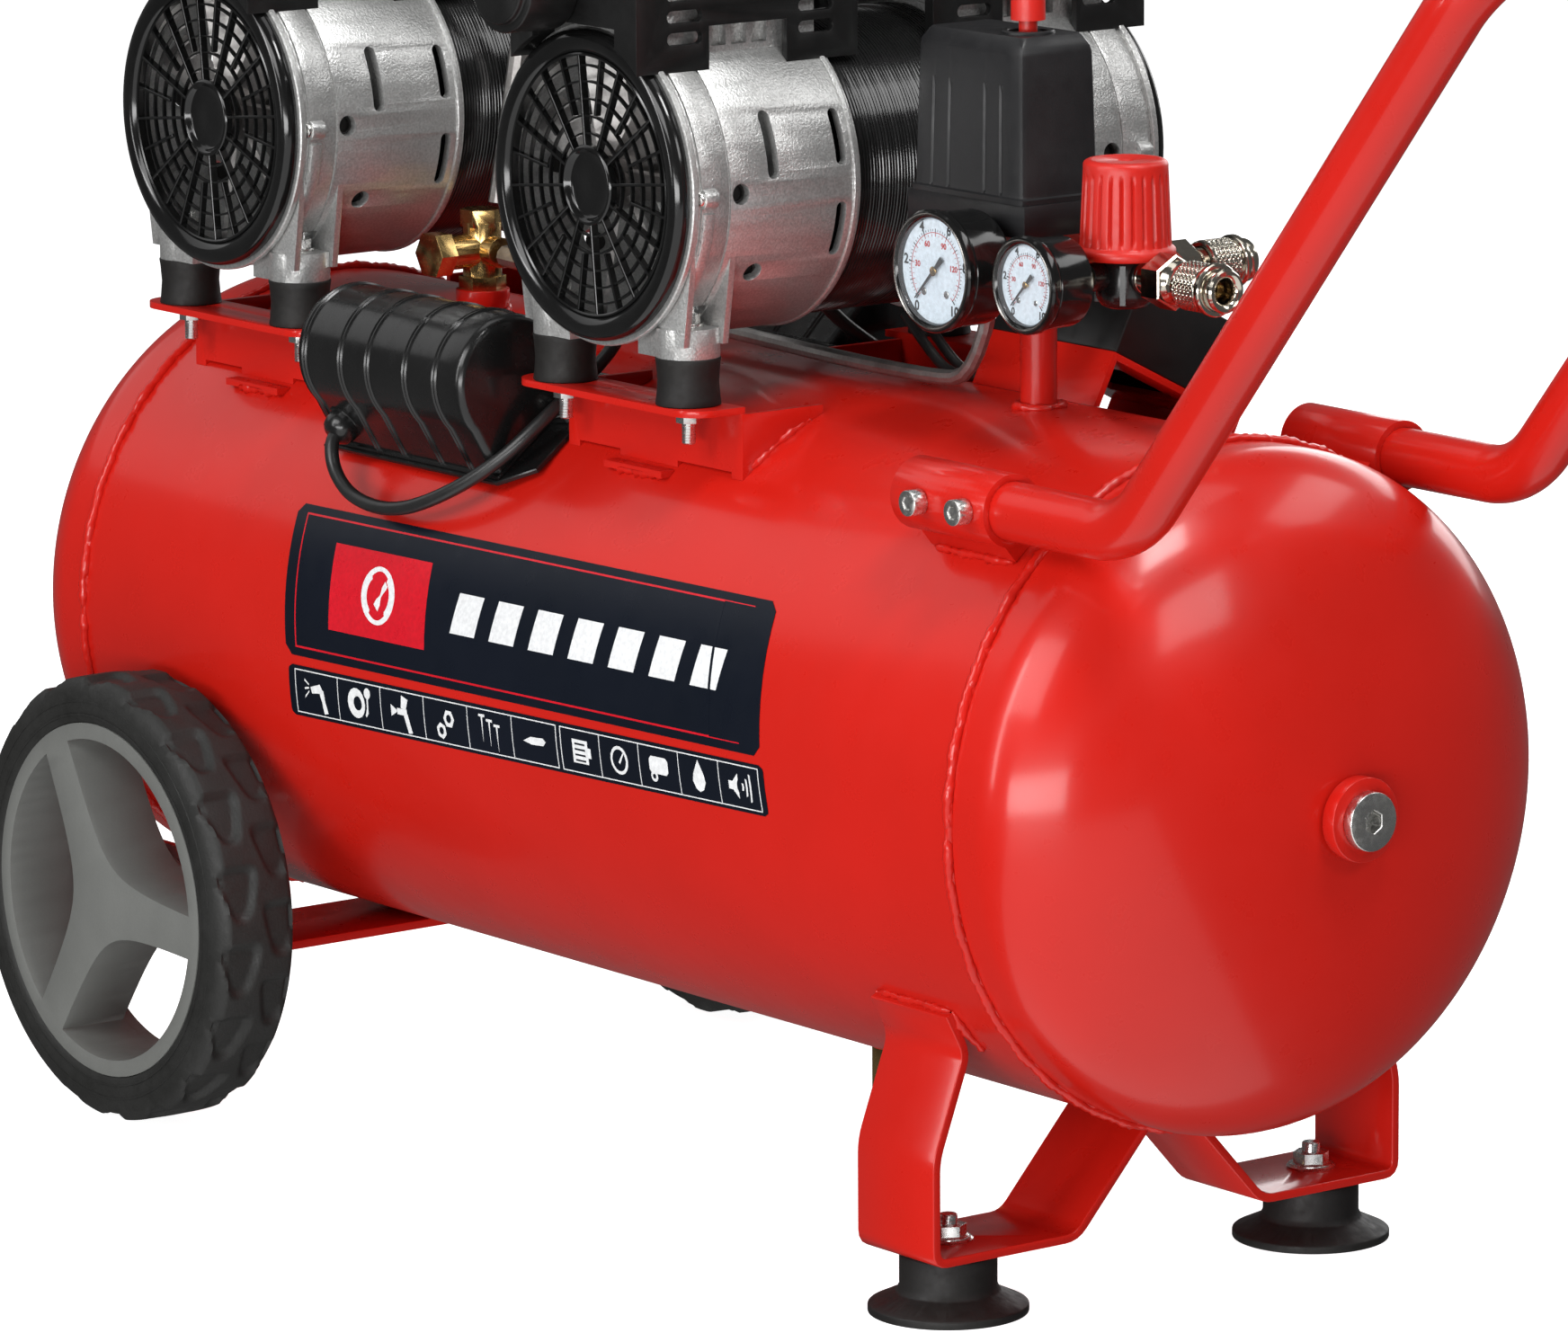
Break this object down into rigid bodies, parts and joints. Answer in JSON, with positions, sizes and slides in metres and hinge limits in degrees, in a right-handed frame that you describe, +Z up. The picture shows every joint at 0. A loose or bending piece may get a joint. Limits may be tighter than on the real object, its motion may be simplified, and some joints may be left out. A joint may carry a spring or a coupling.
{
  "type": "portable air compressor",
  "caption": "Horizontal red pressure tank on two wheels and two rubber feet, with two motor pumps, switch, regulator, gauges, couplers and a tubular push handle.",
  "frame": {"origin": "on the floor below the middle of the whole object", "axes": "+Z up, +X along the tank to the handle end, -Y the side the motor grilles face"},
  "size_m": [1.0576, 0.388, 0.6343],
  "materials": {
    "red_paint": "gloss enamel over steel",
    "zinc": "bright zinc plate",
    "label_film": "printed vinyl film",
    "rubber": "matt black rubber",
    "tyre": "moulded rubber",
    "grey_plastic": "fine grained plastic",
    "cast_aluminium": "silver painted die casting",
    "black_steel": "black painted laminations",
    "rotor_steel": "turned steel",
    "black_plastic": "satin black plastic",
    "capacitor_can": "plain can",
    "cable_black": "satin sheath",
    "brass": "machined brass",
    "nickel": "nickel plate",
    "switch_grey": "fine grained plastic",
    "red_plastic": "moulded plastic",
    "dial_face": "printed dial",
    "lens": "clear window",
    "needle_red": "enamel"
  },
  "bodies": {
    "frame": {"tank_barrel": "red_paint", "head_left": "red_paint", "head_right": "red_paint", "tank_bosses": "red_paint", "end_plugs": "zinc", "label": "label_film", "foot_frame": "red_paint", "rubber_feet": "rubber", "foot_bolts": "zinc", "axle_bracket": "red_paint", "wheel_axles": "zinc", "tank_brackets": "red_paint", "rubber_mounts": "rubber", "mount_bolts": "zinc", "casting_front_left": "cast_aluminium", "casting_front_right": "cast_aluminium", "castings_rear": "cast_aluminium", "stators": "black_steel", "grilles": "black_plastic", "cylinder_heads": "cast_aluminium", "head_covers": "black_plastic", "intake_filters": "black_plastic", "capacitor_boxes": "black_plastic", "capacitors": "capacitor_can", "capacitor_leads": "cable_black", "junction_box": "black_plastic", "delivery_pipes": "rotor_steel", "check_valve": "brass", "riser_manifold": "red_paint", "switch_base": "switch_grey", "switch_cover": "switch_grey", "gauge_cases": "black_plastic", "gauge_dials": "dial_face", "gauge_lenses": "lens", "regulator_body": "black_plastic", "coupler_bodies": "nickel", "safety_valve": "brass", "drain_valve": "brass", "handle_sleeves": "red_paint", "handle_screws": "zinc", "handle_tube": "red_paint", "handle_grip": "rubber"},
    "wheel_near": {"rim_near": "grey_plastic", "tyre_near": "tyre"},
    "wheel_far": {"rim_far": "grey_plastic", "tyre_far": "tyre"},
    "shaft_left": {"rotor_left": "rotor_steel"},
    "shaft_right": {"rotor_right": "rotor_steel"},
    "piston_fl": {"piston_front_left": "cast_aluminium"},
    "piston_rl": {"piston_rear_left": "cast_aluminium"},
    "piston_fr": {"piston_front_right": "cast_aluminium"},
    "piston_rr": {"piston_rear_right": "cast_aluminium"},
    "switch_button": {"switch_knob": "red_plastic"},
    "regulator_handwheel": {"regulator_knob": "red_plastic"},
    "sleeve_side": {"coupler_sleeve_side": "nickel"},
    "sleeve_rear": {"coupler_sleeve_rear": "nickel"},
    "pointer_large": {"needle_large": "needle_red"},
    "pointer_small": {"needle_small": "needle_red"},
    "relief_ring": {"safety_ring": "zinc"},
    "drain_tap": {"drain_screw": "brass"}
  },
  "joints": [
    {"name": "wheel_near_spin", "type": "hinge", "parent": "frame", "child": "wheel_near", "pos_m": [-0.35295, -0.1725, 0.1037], "axis": [0, 1, 0], "continuous": true},
    {"name": "wheel_far_spin", "type": "hinge", "parent": "frame", "child": "wheel_far", "pos_m": [-0.35295, 0.1725, 0.1037], "axis": [0, 1, 0], "continuous": true},
    {"name": "shaft_left_spin", "type": "hinge", "parent": "frame", "child": "shaft_left", "pos_m": [-0.35374, 0.009, 0.4615], "axis": [0, 1, 0], "continuous": true},
    {"name": "shaft_right_spin", "type": "hinge", "parent": "frame", "child": "shaft_right", "pos_m": [-0.05774, 0.009, 0.4615], "axis": [0, 1, 0], "continuous": true},
    {"name": "piston_front_left_stroke", "type": "slide", "parent": "frame", "child": "piston_fl", "axis": [0, 0, 1], "range_m": [-0.008, 0.008]},
    {"name": "piston_rear_left_stroke", "type": "slide", "parent": "frame", "child": "piston_rl", "axis": [0, 0, 1], "range_m": [-0.008, 0.008]},
    {"name": "piston_front_right_stroke", "type": "slide", "parent": "frame", "child": "piston_fr", "axis": [0, 0, 1], "range_m": [-0.008, 0.008]},
    {"name": "piston_rear_right_stroke", "type": "slide", "parent": "frame", "child": "piston_rr", "axis": [0, 0, 1], "range_m": [-0.008, 0.008]},
    {"name": "switch_push", "type": "slide", "parent": "frame", "child": "switch_button", "axis": [0, 0, 1], "range_m": [-0.006, 0]},
    {"name": "regulator_turn", "type": "hinge", "parent": "frame", "child": "regulator_handwheel", "pos_m": [0.15676, 0, 0.46], "axis": [0, 0, 1], "range_deg": [-180, 180]},
    {"name": "sleeve_side_pull", "type": "slide", "parent": "frame", "child": "sleeve_side", "axis": [1, 0, 0], "range_m": [-0.005, 0], "stiffness_N_per_m": 800, "springref_m": 0.005},
    {"name": "sleeve_rear_pull", "type": "slide", "parent": "frame", "child": "sleeve_rear", "axis": [0, 1, 0], "range_m": [-0.005, 0], "stiffness_N_per_m": 800, "springref_m": 0.005},
    {"name": "pointer_large_turn", "type": "hinge", "parent": "frame", "child": "pointer_large", "pos_m": [0.09825, -0.055, 0.435], "axis": [0, 1, 0], "range_deg": [0, 270]},
    {"name": "pointer_small_turn", "type": "hinge", "parent": "frame", "child": "pointer_small", "pos_m": [0.15476, -0.05, 0.435], "axis": [0, 1, 0], "range_deg": [0, 270]},
    {"name": "relief_pull", "type": "slide", "parent": "frame", "child": "relief_ring", "axis": [0, 1, 0], "range_m": [0, 0.003], "stiffness_N_per_m": 1500, "springref_m": -0.003},
    {"name": "drain_turn", "type": "hinge", "parent": "frame", "child": "drain_tap", "pos_m": [-0.00424, 0, 0.04], "axis": [0, 0, 1], "range_deg": [0, 180]}
  ]
}
